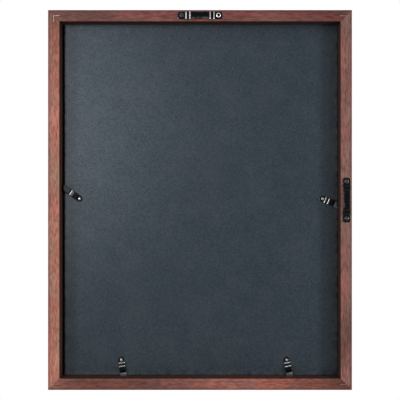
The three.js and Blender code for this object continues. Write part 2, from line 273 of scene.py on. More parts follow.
def blendShaders(tree, factor, first, second, output):
    # the factor takes the surface from the first shader to the second
    mix = addNode(tree, "ShaderNodeMixShader")
    for socket, value in zip(mix.inputs, (factor, first.outputs[0], second.outputs[0])):
        tree.links.new(value, socket)
    tree.links.new(mix.outputs[0], tree.nodes[output].inputs["Surface"])


def newGroup(name, inputs, outputs):
    tree = bpy.data.node_groups.new(name, "ShaderNodeTree")
    for socketName, kind, value in inputs:
        socket = tree.interface.new_socket(socketName, in_out="INPUT", socket_type=kind)
        if value is not None:
            socket.default_value = value
    for socketName, kind in outputs:
        tree.interface.new_socket(socketName, in_out="OUTPUT", socket_type=kind)
    return tree, tree.nodes.new("NodeGroupInput"), tree.nodes.new("NodeGroupOutput")


def placeGroup(tree, group, vector, **values):
    node = addNode(tree, "ShaderNodeGroup", node_tree=group)
    feed(tree, node, Vector=vector, **values)
    return node


def newMaterial(name, **constants):
    # a Principled material: the constants go straight on its own sockets
    material = bpy.data.materials.new(name)
    material.use_nodes = True
    tree = material.node_tree
    shader = tree.nodes["Principled BSDF"]
    for key, value in constants.items():
        shader.inputs[key].default_value = value
    coordinates = addNode(tree, "ShaderNodeTexCoord").outputs["Object"]
    return material, tree, shader, coordinates


def dress(tree, shader, colour, height, bump, rough=None):
    # bump is its depth in metres and its strength
    node = addNode(tree, "ShaderNodeBump", inputs={"Distance": bump[0], "Strength": bump[1]})
    feed(tree, node, Height=height)
    feed(tree, shader, **{"Base Color": colour, "Normal": node.outputs[0]})
    if rough:
        feed(tree, shader, Roughness=rough)


def paint(piece, material):
    piece.data.materials.clear()
    piece.data.materials.append(material)


grain = {  # scales are per metre, along the grain and across it
    "bend": (14, 60, 60), "bendBy": 0.0024, "streaks": (24, 400, 400), "flecks": (150, 800, 800),
    "fibres": (55, 2600, 2600), "pores": (130, 2300, 2300), "hue": (26, 90, 90),
    "streakShare": 0.32, "fleckShare": 0.66, "fibreShare": 0.38, "brownShare": 0.8,
    "poreDepth": 0.5, "poreColour": (0.02, 0.008, 0.006), "fibreHeight": 0.5,
}


def buildWoodGrain():
    # grain along X of the vector it is given: streaks, fibres, short dark pores and slow changes of hue
    tree, inside, outside = newGroup(
        "woodGrain",
        [("Vector", "NodeSocketVector", None), ("Light", "NodeSocketColor", (0.3, 0.12, 0.09, 1)),
         ("Dark", "NodeSocketColor", (0.12, 0.04, 0.03, 1)),
         ("Brown", "NodeSocketColor", (0.18, 0.10, 0.07, 1))],
        [("Color", "NodeSocketColor"), ("Height", "NodeSocketFloat"), ("Pores", "NodeSocketFloat")],
    )
    vector = inside.outputs["Vector"]
    shift = addNode(tree, "ShaderNodeVectorMath", operation="MULTIPLY_ADD")
    tree.links.new(stretchedNoise(tree, vector, grain["bend"], 2.0), shift.inputs[0])
    shift.inputs[1].default_value = (0, grain["bendBy"], grain["bendBy"])
    tree.links.new(vector, shift.inputs[2])
    bent = shift.outputs[0]
    streaks = stretchedNoise(tree, bent, grain["streaks"], 4.0, 0.6)
    flecks = stretchedNoise(tree, bent, grain["flecks"], 3.0, 0.6)
    fibres = stretchedNoise(tree, bent, grain["fibres"], 3.0, 0.6)
    hue = stretchedNoise(tree, bent, grain["hue"], 4.0, 0.65)
    pores = spread(tree, stretchedNoise(tree, bent, grain["pores"], 2.0, 0.5), 0.60, 0.68)
    tone = times(tree, spread(tree, streaks, 0.36, 0.64), grain["streakShare"])
    tone = plus(tree, tone, times(tree, spread(tree, flecks, 0.40, 0.60), grain["fleckShare"]))
    tone = plus(tree, tone, times(tree, spread(tree, fibres, 0.38, 0.62), grain["fibreShare"]))
    colour = mixColour(tree, tone, inside.outputs["Dark"], inside.outputs["Light"])
    brown = mixColour(tree, tone, (0.35, 0.35, 0.35), (1.1, 1.1, 1.1))
    brown = mixColour(tree, 1.0, brown, inside.outputs["Brown"], "MULTIPLY")
    colour = mixColour(tree, spread(tree, hue, 0.42, 0.62, 0.0, grain["brownShare"]), colour, brown)
    colour = mixColour(tree, times(tree, pores, grain["poreDepth"]), colour, grain["poreColour"])
    height = mathNode(tree, "SUBTRACT", times(tree, fibres, grain["fibreHeight"]), pores)
    feed(tree, outside, Color=colour, Height=height, Pores=pores)
    return tree


def buildPebble():
    # raised cells of unequal size and tone with creases between them, as pressed into paper; the crease mask
    # is used as painted shade
    tree, inside, outside = newGroup(
        "pebbleGrain",
        [("Vector", "NodeSocketVector", None), ("Size", "NodeSocketFloat", 0.0012)],
        [("Height", "NodeSocketFloat"), ("Speckle", "NodeSocketFloat"), ("Crease", "NodeSocketFloat")],
    )
    vector = inside.outputs["Vector"]
    scale = mathNode(tree, "DIVIDE", 1.0, inside.outputs["Size"])
    fine = noiseOf(tree, vector, times(tree, scale, 1.1), 5.0, 0.6)
    cells = addNode(tree, "ShaderNodeTexVoronoi", feature="F1")
    borders = addNode(tree, "ShaderNodeTexVoronoi", feature="DISTANCE_TO_EDGE")
    for node in (cells, borders):
        feed(tree, node, Vector=vector, Scale=scale)
    fromBorder = borders.outputs["Distance"]
    tone = plus(tree, times(tree, cells.outputs["Color"], 0.3), times(tree, fine, 0.7))
    height = plus(tree, spread(tree, fromBorder, 0.0, 0.42), times(tree, fine, 0.35))
    feed(tree, outside, Height=height, Speckle=spread(tree, tone, 0.36, 0.64),
         Crease=spread(tree, fromBorder, 0.0, 0.16, 1.0, 0.0))
    return tree


def buildDust():
    # sparse pale specks and lint
    tree, inside, outside = newGroup(
        "dustSpecks",
        [("Vector", "NodeSocketVector", None), ("Amount", "NodeSocketFloat", 0.3)],
        [("Mask", "NodeSocketFloat")],
    )
    vector = inside.outputs["Vector"]
    specks = spread(tree, noiseOf(tree, vector, 520.0, 1.0), 0.72, 0.80)
    film = spread(tree, noiseOf(tree, vector, 45.0, 4.0), 0.42, 0.75)
    both = plus(tree, times(tree, specks, 0.8), times(tree, film, 0.35))
    feed(tree, outside, Mask=times(tree, both, inside.outputs["Amount"]))
    return tree


def buildEdgeWear():
    # an edge mask broken up by noise: worn metal on the steel, lighter lines on the wood and along the
    # paper's edge
    tree, inside, outside = newGroup(
        "edgeWear",
        [("Vector", "NodeSocketVector", None), ("Edge", "NodeSocketFloat", 0.0),
         ("Amount", "NodeSocketFloat", 0.6)],
        [("Mask", "NodeSocketFloat")],
    )
    broken = spread(tree, noiseOf(tree, inside.outputs["Vector"], 160.0, 4.0, 0.65), 0.38, 0.62)
    mask = times(tree, times(tree, inside.outputs["Edge"], broken), inside.outputs["Amount"])
    feed(tree, outside, Mask=mask)
    return tree


woodGrain = buildWoodGrain()
pebbleGrain = buildPebble()
dustSpecks = buildDust()
edgeWear = buildEdgeWear()
print("shared effects built")


woodFinish = {
    "specular": 0.14, "rough": (0.42, 0.56), "poreRough": 0.2, "recessRough": 0.9, "blotch": (0.84, 1.16),
    "wear": 0.5, "paleLineTone": 1.3, "arris": 0.85, "arrisShadeColour": (0.045, 0.022, 0.018),
    "recess": 0.89, "recessShadeColour": (0.010, 0.006, 0.005),
    "bump": (0.00006, 0.6),  # depth in metres, and strength
}


def stainedWood(name, grainAlong, tone, offset):
    # grainAlong is X or Z; the attributes it reads are painted on the rail's mesh
    f = woodFinish
    material, tree, shader, where = newMaterial(name, **{"Specular IOR Level": f["specular"]})
    turn = addNode(tree, "ShaderNodeMapping", inputs={"Location": offset})
    if grainAlong == "Z":
        turn.inputs["Rotation"].default_value = (0, math.radians(90), 0)
    feed(tree, turn, Vector=where)
    vector = turn.outputs[0]
    light, dark, brown = tone["light"], tone["dark"], tone["brown"]
    figure = placeGroup(tree, woodGrain, vector, Light=light, Dark=dark, Brown=brown)
    arris, recess, stain = (attributeOf(tree, mask) for mask in ("arris", "recess", "stain"))
    # lighter lines along the back edges, broken up by noise
    wear = placeGroup(tree, edgeWear, vector, Edge=attributeOf(tree, "paleLines"), Amount=f["wear"])
    blotch = spread(tree, noiseOf(tree, vector, 30.0), 0.3, 0.7, *f["blotch"])
    # the rail is made lighter or darker along its length and in random blotches
    colour = mixColour(tree, 1.0, figure.outputs["Color"], times(tree, blotch, stain), "MULTIPLY")
    # painted shade: the outer back edge is darkened where it turns sideways
    colour = mixColour(tree, times(tree, arris, f["arris"]), colour, f["arrisShadeColour"])
    colour = mixColour(tree, wear.outputs["Mask"], colour, [min(1, c * f["paleLineTone"]) for c in light])
    # painted shade: the rebate walls are made nearly black
    colour = mixColour(tree, times(tree, recess, f["recess"]), colour, f["recessShadeColour"])
    rough = spread(tree, noiseOf(tree, vector, 60.0), 0.3, 0.7, *f["rough"])
    rough = plus(tree, rough, times(tree, figure.outputs["Pores"], f["poreRough"]))
    rough = mathNode(tree, "MAXIMUM", rough, times(tree, recess, f["recessRough"]))
    dress(tree, shader, colour, figure.outputs["Height"], f["bump"], rough)
    return material


paperFinish = {
    "specular": 0.26, "tint": (0.80, 0.90, 1.0, 1), "rough": (0.41, 0.32), "pebble": 0.0015,
    "colours": ((0.0200, 0.0295, 0.0390), (0.0255, 0.0360, 0.0455)), "dim": (0.42, 0.44, 0.47),
    "paintedShadeColour": (0.004, 0.005, 0.007), "crease": 0.45, "wallShadow": 0.85,
    "dust": 0.12, "dustColour": (0.16, 0.17, 0.18), "wear": 0.8, "edgeLineColour": (0.11, 0.11, 0.11),
    "bump": (0.0001, 0.6),
}


def pebbledPaper():
    f = paperFinish
    material, tree, shader, where = newMaterial(
        "pebbledPaper", **{"Specular IOR Level": f["specular"], "Specular Tint": f["tint"]}
    )
    pebble = placeGroup(tree, pebbleGrain, where, Size=f["pebble"])
    dust = placeGroup(tree, dustSpecks, where, Amount=f["dust"])
    wear = placeGroup(tree, edgeWear, where, Edge=attributeOf(tree, "edge"), Amount=f["wear"])
    cloud = spread(tree, noiseOf(tree, where, 14.0), 0.3, 0.7)
    colour = mixColour(tree, cloud, *f["colours"])
    dim = mixColour(tree, 1.0, colour, f["dim"], "MULTIPLY")
    colour = mixColour(tree, pebble.outputs["Speckle"], dim, colour)
    # painted shade: the creases between pebbles, and bands along the board's left and right sides, are
    # darkened
    for mask, amount in ((pebble.outputs["Crease"], f["crease"]), (attributeOf(tree, "wallShadow"), f["wallShadow"])):
        colour = mixColour(tree, times(tree, mask, amount), colour, f["paintedShadeColour"])
    colour = mixColour(tree, dust.outputs["Mask"], colour, f["dustColour"])
    # a lighter line along the board's sides and bottom, broken up by noise
    colour = mixColour(tree, wear.outputs["Mask"], colour, f["edgeLineColour"])
    rough = spread(tree, pebble.outputs["Speckle"], 0, 1, *f["rough"])
    dress(tree, shader, colour, pebble.outputs["Height"], f["bump"], rough)
    return material


steelFinish = {
    "oxide": ((0.004, 0.0045, 0.005), (0.008, 0.008, 0.009)), "wear": 0.4, "patchy": (0.88, 1.0),
    "dust": 0.04, "dustColour": (0.12, 0.11, 0.10), "scratches": (900, 900, 5200), "roughBy": (-0.02, 0.03),
    "bump": (0.00002, 0.06),
    "spring": {"rough": 0.24, "bare": (0.34, 0.35, 0.34)},
    "hanger": {"rough": 0.21, "bare": (0.62, 0.62, 0.63)},
}


def blackSteel(kind):
    # black oxide over steel; the attribute worn is bare metal where bends and tips have worn, and painted
    # glint on the bends, tips and a screw's rim that face the lamps
    f = steelFinish
    bare = f[kind]["bare"]
    material, tree, shader, where = newMaterial(f"{kind}Steel", **{"Metallic": 1.0})
    dust = placeGroup(tree, dustSpecks, where, Amount=f["dust"])
    wear = placeGroup(tree, edgeWear, where, Edge=attributeOf(tree, "edge"), Amount=f["wear"])
    colour = mixColour(tree, spread(tree, noiseOf(tree, where, 700.0), 0.3, 0.7), *f["oxide"])
    colour = mixColour(tree, wear.outputs["Mask"], colour, bare)
    patchy = spread(tree, noiseOf(tree, where, 900.0), 0.3, 0.7, *f["patchy"])
    colour = mixColour(tree, times(tree, attributeOf(tree, "worn"), patchy), colour, bare)
    colour = mixColour(tree, dust.outputs["Mask"], colour, f["dustColour"])
    scratches = stretchedNoise(tree, where, f["scratches"], 2.0)
    rough = spread(tree, scratches, 0.3, 0.7, *(f[kind]["rough"] + by for by in f["roughBy"]))
    dress(tree, shader, colour, scratches, f["bump"], rough)
    return material


nailFinish = {"colours": ((0.27, 0.235, 0.165), (0.14, 0.11, 0.07)), "brush": (600, 6000, 600),
              "rough": (0.34, 0.56), "bump": (0.00002, 0.4)}


def nailSteel():
    f = nailFinish
    material, tree, shader, where = newMaterial("nailSteel", **{"Metallic": 0.9})
    colour = mixColour(tree, spread(tree, noiseOf(tree, where, 600.0, 4.0), 0.35, 0.65), *f["colours"])
    brush = stretchedNoise(tree, where, f["brush"], 2.0)
    dress(tree, shader, colour, brush, f["bump"], spread(tree, brush, 0.3, 0.7, *f["rough"]))
    return material


velvetFinish = {
    "rough": 0.95, "specular": 0.05, "sheen": 0.12, "sheenRough": 0.35, "sheenTint": (0.55, 0.6, 0.72, 1),
    # the base is painted far darker than the face, as painted shade at the bottoms of the coin holes
    "face": (0.055, 0.059, 0.072), "base": (0.010, 0.011, 0.014), "brushedTone": 0.75,
    "nap": 0.14, "napColour": (0.002, 0.002, 0.003), "lint": 0.03, "lintColour": (0.13, 0.13, 0.14),
    "bump": (0.00004, 0.12),
}


def trayVelvet(layer):
    f = velvetFinish
    material, tree, shader, where = newMaterial(
        f"{layer}Velvet",
        **{"Roughness": f["rough"], "Specular IOR Level": f["specular"], "Sheen Weight": f["sheen"],
           "Sheen Roughness": f["sheenRough"], "Sheen Tint": f["sheenTint"]},
    )
    nap = noiseOf(tree, where, 2600.0, 2.0)
    brushed = spread(tree, noiseOf(tree, where, 26.0, 4.0, 0.6), 0.35, 0.65)
    colour = mixColour(tree, brushed, [c * f["brushedTone"] for c in f[layer]], f[layer])
    colour = mixColour(tree, spread(tree, nap, 0.35, 0.65, 0.0, f["nap"]), colour, f["napColour"])
    lint = placeGroup(tree, dustSpecks, where, Amount=f["lint"])
    colour = mixColour(tree, lint.outputs["Mask"], colour, f["lintColour"])
    dress(tree, shader, colour, nap, f["bump"])
    return material


glassFinish = {"colour": (0.96, 0.985, 0.975, 1), "refraction": 1.5, "shadow": (0.93, 0.95, 0.94, 1)}


def clearGlass():
    # lamps shine through the pane as through clear air, or the tray behind it would stay dark
    f = glassFinish
    material, tree, shader, _ = newMaterial(
        "clearGlass",
        **{"Base Color": f["colour"], "Roughness": 0.0, "Transmission Weight": 1.0, "IOR": f["refraction"]},
    )
    clear = addNode(tree, "ShaderNodeBsdfTransparent", inputs={"Color": f["shadow"]})
    inShadow = addNode(tree, "ShaderNodeLightPath").outputs["Is Shadow Ray"]
    blendShaders(tree, inShadow, shader, clear, "Material Output")
    return material


springSteel = blackSteel("spring")
hangerSteel = blackSteel("hanger")
stripSteel = nailSteel()
boardPaper = pebbledPaper()
faceVelvet = trayVelvet("face")
shadedBaseVelvet = trayVelvet("base")
glass = clearGlass()
print("materials built")


rails = {
    "backWidth": 11.4, "frontWidth": 19.05, "outerArris": 0.8, "innerArris": 0.4, "frontRound": 4.0,
    "beadWidth": 3.2, "beadStep": 1.0, "beadRadius": 1.6, "beadChamfer": 0.15, "mitreTrim": 0.0708,
    "glassRest": 0.3, "lip": 5.15,
    # back and front of the cut from the board's back, and its depth
    "kerf": (2.0, 0.4, 5.84), "boardGroove": (0.3, -3.3, 4.0),
    "section": 3.0, "alongStep": 3.0, "unevenness": 0.09, "swell": (0.05, 0.35, 0.35),
    "dent": 0.22, "dentAbove": 0.28, "dentScale": (0.11, 0.2), "edgeReach": 0.9, "arrisShadeReach": 0.85,
    # each rail's tones differ partly as separate pieces of wood do and partly as painted sheen: the right
    # rail, on the side where most lamps stand, is painted lighter
    "top": {"inward": (0, 0, -1), "along": (1, 0, 0), "seed": 3.1,
            "light": (0.154, 0.044, 0.038), "dark": (0.048, 0.012, 0.011), "brown": (0.109, 0.048, 0.041),
            "toneAlongRail": (0.78, 0.85, 1.12, 1.16, 1.16, 1.30, 0.91, 1.02)},
    "bottom": {"inward": (0, 0, 1), "along": (-1, 0, 0), "seed": 11.7,
               "light": (0.222, 0.073, 0.049), "dark": (0.077, 0.023, 0.019), "brown": (0.127, 0.062, 0.056),
               "toneAlongRail": (1.12, 0.80, 0.80, 1.08, 1.36, 1.58, 0.96, 0.48)},
    "left": {"inward": (1, 0, 0), "along": (0, 0, 1), "seed": 23.9,
             "light": (0.205, 0.079, 0.065), "dark": (0.068, 0.024, 0.022), "brown": (0.144, 0.084, 0.068),
             "toneAlongRail": (1.25, 0.70, 1.12, 1.04, 1.03, 1.03, 1.04, 0.90)},
    "right": {"inward": (-1, 0, 0), "along": (0, 0, -1), "seed": 37.2,
              "light": (0.342, 0.121, 0.086), "dark": (0.129, 0.041, 0.030), "brown": (0.257, 0.145, 0.103),
              "toneAlongRail": (0.50, 0.86, 1.05, 0.92, 1.06, 1.11, 1.17, 1.46)},
}


def railProfile(groove):
    # (distance in from the outer edge, y) in mm, once round the moulding
    s = rails
    back, front, depth = groove
    board = boardBack / mm
    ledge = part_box("glass_pane")[0].y / mm - s["glassRest"]
    face = ledge - s["lip"]
    inner, outer, frontRound, sight = s["innerArris"], s["outerArris"], s["frontRound"], s["frontWidth"]
    rebate, chamfer, bead, beadX = s["backWidth"], s["beadChamfer"], s["beadRadius"], sight - s["beadWidth"]
    points = arc(outer, -outer, outer, 90, 180, 5)
    points += arc(frontRound, face + frontRound, frontRound, 180, 270, 10)
    points += [(beadX - chamfer, face), (beadX, face + chamfer), (beadX, face + s["beadStep"])]
    points += arc(sight - bead, face + s["beadStep"] + bead, bead, 270, 360, 7)
    points += [(sight, ledge), (rebate, ledge), (rebate, board + front), (rebate - depth, board + front),
               (rebate - depth, board + back), (rebate, board + back)]
    points += arc(rebate - inner, -inner, inner, 0, 90, 4)
    return finePath(points, s["section"])


def railPlacer(side):
    # turns (distance in, y, distance along) in mm into the frame's axes in metres
    inward, along = Vector(rails[side]["inward"]), Vector(rails[side]["along"])
    half = (outerHigh - outerLow) / 2
    edge = Vector((middle.x, 0, middle.z)) - Vector((inward.x * half.x, 0, inward.z * half.z))
    return lambda u, y, s: edge + inward * u * mm + Vector((0, y * mm, 0)) + along * s * mm


def railLength(side):
    return ((outerHigh.z - outerLow.z) if side in ("left", "right") else (outerHigh.x - outerLow.x)) / mm


def arrisMask(u, y, face):
    # nearness to the moulding's exposed edges
    s = rails
    corners = [(0.2, -0.2), (s["backWidth"], 0), (1.2, face + 1.2), (s["frontWidth"] - s["beadWidth"], face),
               (s["frontWidth"] - 0.4, face + s["beadStep"] + 0.4)]
    return max(bell(math.hypot(u - cu, y - cy), s["edgeReach"]) for cu, cy in corners)


def makeRail(side):
    s = rails
    groove = s["boardGroove"] if side == "top" else s["kerf"]
    profile = railProfile(groove)
    face = min(y for _, y in profile)
    place, length, seed = railPlacer(side), railLength(side), s[side]["seed"]
    steps = round(length / s["alongStep"])
    rebate, (swellX, swellU, swellY), (dentX, dentU) = s["backWidth"], s["swell"], s["dentScale"]
    loops = []
    for k in range(steps + 1):
        share = 2 * k / steps - 1
        loop = []
        for u, y in profile:
            along = share * (length / 2 - u - s["mitreTrim"])
            swell = noise.noise(Vector((along * swellX + seed, u * swellU, y * swellY)))
            dent = noise.noise(Vector((along * dentX, seed, u * dentU)))
            worn = s["unevenness"] * (0.5 + 0.5 * swell)
            worn += s["dent"] * arrisMask(u, y, face) * max(0.0, dent - s["dentAbove"])
            if rebate + 0.1 > u > rebate - groove[2] - 0.1 and face + 0.01 < y < -1.0:
                worn = 0.0  # the rebate's walls stay straight
            towards = Vector((rebate / 2 - u, face / 2 - y)).normalized()
            loop.append(place(u + towards.x * worn, y + towards.y * worn, along))
        loops.append(loop)
    rail = makePiece(f"{side}RailWood", *loftLoops(loops), "frame", "stained_wood", [f"{side}_rail"])
    cutters = vNailPockets(side, -1) + vNailPockets(side, 1)
    if side in ("top", "left"):
        radius, depth, point = screws["pilot"]
        pilot = [(0, -depth - point), (radius, -depth), (radius, 1), (0, 1)]
        cutters += [latheMesh(pilot, 16, screwPlacer(side, z)) for z in hangers["screwPlaces"]]
    cutAway(rail, cutters)
    paintRailMasks(rail, side, face)
    smoothByAngle(rail, 32)
    grainAlong = "Z" if side in ("left", "right") else "X"
    offset = (seed * 0.13, seed * 0.07, seed * 0.11)
    paint(rail, stainedWood(f"{side}RailStain", grainAlong, s[side], offset))


def paintRailMasks(rail, side, face):
    # masks painted on the rail: painted shade on the outer back edge where it turns sideways, lighter lines
    # along the back edges, painted shade on the rebate walls behind the glass, and how light or dark the rail
    # is along its length
    s = rails
    inward, along, depths = Vector(s[side]["inward"]), Vector(s[side]["along"]), s[side]["toneAlongRail"]
    half = (outerHigh - outerLow) / 2
    reach = half.x if side in ("left", "right") else half.z
    length = railLength(side) * mm
    masks = {"arris": [], "paleLines": [], "recess": [], "stain": []}
    for vertex in rail.data.vertices:
        u = (Vector((vertex.co.x - middle.x, 0, vertex.co.z - middle.z)).dot(inward) + reach) / mm
        y = vertex.co.y / mm
        masks["arris"].append(bell(math.hypot(u - 0.15, y + 0.15), s["arrisShadeReach"]))
        masks["paleLines"].append(arrisMask(u - 0.4 if u > 8 else u + 9, y, face))
        deep = ease((u - s["backWidth"] + 0.3) / 0.25) * ease((-y - 0.15) / 0.35)
        masks["recess"].append(deep if y > face + 5 else 0.0)
        share = min(max((vertex.co - middle).dot(along) / length + 0.5, 0.0), 1.0) * (len(depths) - 1)
        step = min(int(share), len(depths) - 2)
        masks["stain"].append(depths[step] + (depths[step + 1] - depths[step]) * ease(share - step))
    for name, values in masks.items():
        paintMask(rail, name, values)


vNails = {"inset": 5.7, "wing": 6.5, "thickness": 0.7, "height": 9.5, "sunk": 0.15, "gap": 0.12,
          "bevel": 0.1, "tip": (0.5, 0.25)}  # the driven end's length and taper


def vNailOutline(grow):
    near = vNails["inset"] - vNails["thickness"] / 2 - grow
    far = vNails["inset"] + vNails["thickness"] / 2 + grow
    end = vNails["inset"] + vNails["wing"] + grow
    return [(near, near), (end, near), (end, far), (far, far), (far, end), (near, end)]


def cornerPlacer(x, z):
    # (in from the side edge, in from the top or bottom edge, y) in mm at one corner of the frame
    corner = Vector((outerHigh.x if x > 0 else outerLow.x, 0, outerHigh.z if z > 0 else outerLow.z))
    return lambda a, b, y: corner + Vector((-x * a * mm, y * mm, -z * b * mm))


def vNailPockets(side, end):
    # the pocket in this rail's end, where the V-nails are driven
    along = Vector(rails[side]["along"]) * end
    inward = Vector(rails[side]["inward"])
    x, z = (along.x or -inward.x), (along.z or -inward.z)
    place = cornerPlacer(x, z)
    depth = 2 * (vNails["height"] + vNails["gap"]) + vNails["sunk"] + vNails["gap"]
    outline = vNailOutline(vNails["gap"])
    return [loftLoops([[place(a, b, y) for a, b in outline] for y in (1, -depth)])]


def makeVNails():
    bevel, (tipLength, taper) = vNails["bevel"], vNails["tip"]
    for vertical, z in (("bottom", -1), ("top", 1)):
        for side, x in (("left", -1), ("right", 1)):
            place = cornerPlacer(x, z)
            for i in (1, 2):
                top = -vNails["sunk"] - (i - 1) * (vNails["height"] + vNails["gap"])
                low = top - vNails["height"]
                stations = ((top, -bevel), (top - bevel, 0), (low + tipLength, 0), (low, -taper))
                loops = [[place(a, b, y) for a, b in vNailOutline(grow)] for y, grow in stations]
                nail = makePiece(f"vNail_{vertical}_{side}_{i}", *loftLoops(loops), "frame", "nail_steel",
                                 [f"v_nail_{vertical}_{side}_{i}"])
                smoothByAngle(nail, 30)
                paint(nail, stripSteel)


hangers = {
    "length": 45.0, "width": 7.6, "thickness": 0.8, "middle": 5.7, "endCorner": 2.4, "edgeRound": 0.16,
    # bends are measured from each end, and every one of them lifts the strip by a step
    "lift": 0.0, "step": 0.9, "bends": (7.9, 11.8), "rises": (1, 1), "run": 1.2, "softness": 0.5,
    "barInset": 0.5, "barSoftness": 0.12, "notches": 7, "pitch": 2.4, "notchDepth": 1.4,
    "screwPlaces": (-18.5, 18.5), "screwHole": 1.25,
    # bare metal on the bends: a little worn metal, and painted glint on the top hanger, whose bends face the
    # lamps, but hardly any on the side hanger
    "bendWearAndGlint": {"top": 0.9, "left": 0.03}, "bendGlintReach": 0.36,
}
screws = {
    "headRadius": 2.4, "headHeight": 1.3, "rim": 0.3, "shank": 0.8, "thread": 1.1, "threads": 4, "pitch": 1.6,
    "plain": 1.4, "point": 2.0, "crossWidth": 0.75, "crossLength": 2.9, "crossDepth": 0.85,
    "pilot": (0.95, 10.4, 1.6),  # radius, depth and point of the hole in the rail
    # one screw's head has a bright bare ring painted at its rim: painted glint; the other screws get a little
    # bare metal
    "glintScrew": "top_hanger_screw_1", "rimGlint": 0.95, "glintFrom": 1.5, "otherWear": 0.05, "edgeAmount": 0.25,
}


def hangerPlacer(side):
    # (along the hanger, towards its teeth, out from the rail) in mm
    place = railPlacer(side)
    return lambda s, v, h: place(hangers["middle"] + v, h, s)


def screwPlacer(side, z):
    place = hangerPlacer(side)
    return lambda a, b, h: place(z + a, b, h)


def stripHeight(settings, distance):
    # height of a pressed strip's underside, which changes by a step at each bend
    soft, span = settings["softness"], settings["run"] + settings["softness"]
    rises = [settings["step"] * sign * ramp((distance - start + soft / 2) / span)
             for start, sign in zip(settings["bends"], settings["rises"])]
    return settings["lift"] + sum(rises)


def hangerEdges(s):
    # lower and toothed edge of the strip at a distance along it
    h = hangers
    half, edge, corner = h["length"] / 2, h["width"] / 2, h["endCorner"]
    low, high = -edge, edge
    over = abs(s) - (half - corner)
    if over > 0:
        drop = corner - math.sqrt(max(0.0, corner ** 2 - over ** 2))
        low, high = low + drop, high - drop
    barEnd = half - h["bends"][1] - h["run"]
    low += h["barInset"] * ease((barEnd - abs(s)) / h["barSoftness"] + 0.5)
    phase = abs(s) / h["pitch"]
    if abs(s) < h["notches"] * h["pitch"] / 2:
        nearRoot = abs(phase - round(phase)) * 2
        high -= h["notchDepth"] * (1 - nearRoot)
    return low, high


def roundedStrip(settings, stations, edges, distance, place):
    # cross-sections of a pressed strip, each a rectangle with rounded edges
    thickness, edgeRound = settings["thickness"], settings["edgeRound"]
    loops = []
    for s in stations:
        low, high = edges(s)
        r = min(edgeRound, max((high - low) * 0.45, 1e-4))
        base = stripHeight(settings, distance(s))
        left, right, top, under = low + r, high - r, base + thickness - edgeRound, base + edgeRound
        points = []
        for cv, ch, start in ((right, top, 0), (left, top, 90), (left, under, 180), (right, under, 270)):
            for i in range(4):
                a = math.radians(start + 30 * i)
                points.append((cv + r * math.cos(a), ch + edgeRound * math.sin(a)))
            if start in (0, 180):  # three points across the flat side
                first, last, h = (right, left, base + thickness) if start == 0 else (left, right, base)
                points += [(first + (last - first) * t, h) for t in (0.25, 0.5, 0.75)]
        loops.append([place(s, v, h) for v, h in points])
    return loftLoops(loops)


def paintEdgeMask(piece, sharpest, widest, amount):
    # edge is highest where the surface turns, from the angle between neighbouring faces
    bm = bmesh.new()
    bm.from_mesh(piece.data)
    values = []
    for vertex in bm.verts:
        between = [e for e in vertex.link_edges if len(e.link_faces) == 2]
        turn = max((e.calc_face_angle_signed(0) for e in between), default=0)
        values.append(amount * ease((turn - math.radians(sharpest)) / math.radians(widest - sharpest)))
    bm.free()
    paintMask(piece, "edge", values)


def finishSteel(piece, material, crease, sharpest, widest, bareAndGlintAt, amount=1.0):
    # the function passed in gives the bare metal at a point, from 0 to 1: worn metal, and painted glint on
    # the clips, hangers and a screw
    smoothByAngle(piece, crease)
    paintEdgeMask(piece, sharpest, widest, amount)
    paintMask(piece, "worn", [bareAndGlintAt(vertex.co) for vertex in piece.data.vertices])
    paint(piece, material)


def hangerStations():
    # distances along the strip: close together where it bends and turns
    h = hangers
    half = h["length"] / 2
    barEnd = half - h["bends"][1] - h["run"]
    stations = {half - 5.0, half - 4.0, half - 6.5, 0.0}
    stations |= {barEnd - h["barSoftness"] / 2, barEnd + h["barSoftness"] / 2}
    stations |= {half - h["endCorner"] * (1 - math.sin(math.pi / 2 * i / 8)) for i in range(9)}
    for start in h["bends"]:
        for i in range(13):
            stations.add(half - start - (h["run"] + h["softness"]) * i / 12 + h["softness"] / 2)
    for i in range(h["notches"] + 1):
        stations |= {i * h["pitch"] / 2, i * h["pitch"] / 2 + h["pitch"] / 4}
    fine = sorted(round(s, 3) for s in stations if 0 <= s < half - 0.004)
    return [-s for s in reversed(fine) if s > 0] + fine


def makeHanger(side, node):
    h = hangers
    place = hangerPlacer(side)
    strip = roundedStrip(h, hangerStations(), hangerEdges, lambda s: h["length"] / 2 - abs(s), place)
    hanger = makePiece(f"{node}Strip", *strip, "frame", "black_hanger_steel", [node])
    hole = [(0, -1), (h["screwHole"], -1), (h["screwHole"], 2.2), (0, 2.2)]
    cutAway(hanger, [latheMesh(hole, 24, screwPlacer(side, z)) for z in h["screwPlaces"]])
    centre, along = place(0, 0, 0), Vector(rails[side]["along"])

    def bendWearAndGlint(point):
        bend = h["length"] / 2 - abs((point - centre).dot(along)) / mm - h["run"] / 2
        return h["bendWearAndGlint"][side] * max(bell(bend - start, h["bendGlintReach"]) for start in h["bends"])

    finishSteel(hanger, hangerSteel, 40, 14, 40, bendWearAndGlint)
    for i, z in enumerate(h["screwPlaces"], 1):
        makeScrew(f"{node}Screw_{i}", f"{node}_screw_{i}", screwPlacer(side, z), 20 + 50 * i + len(side))


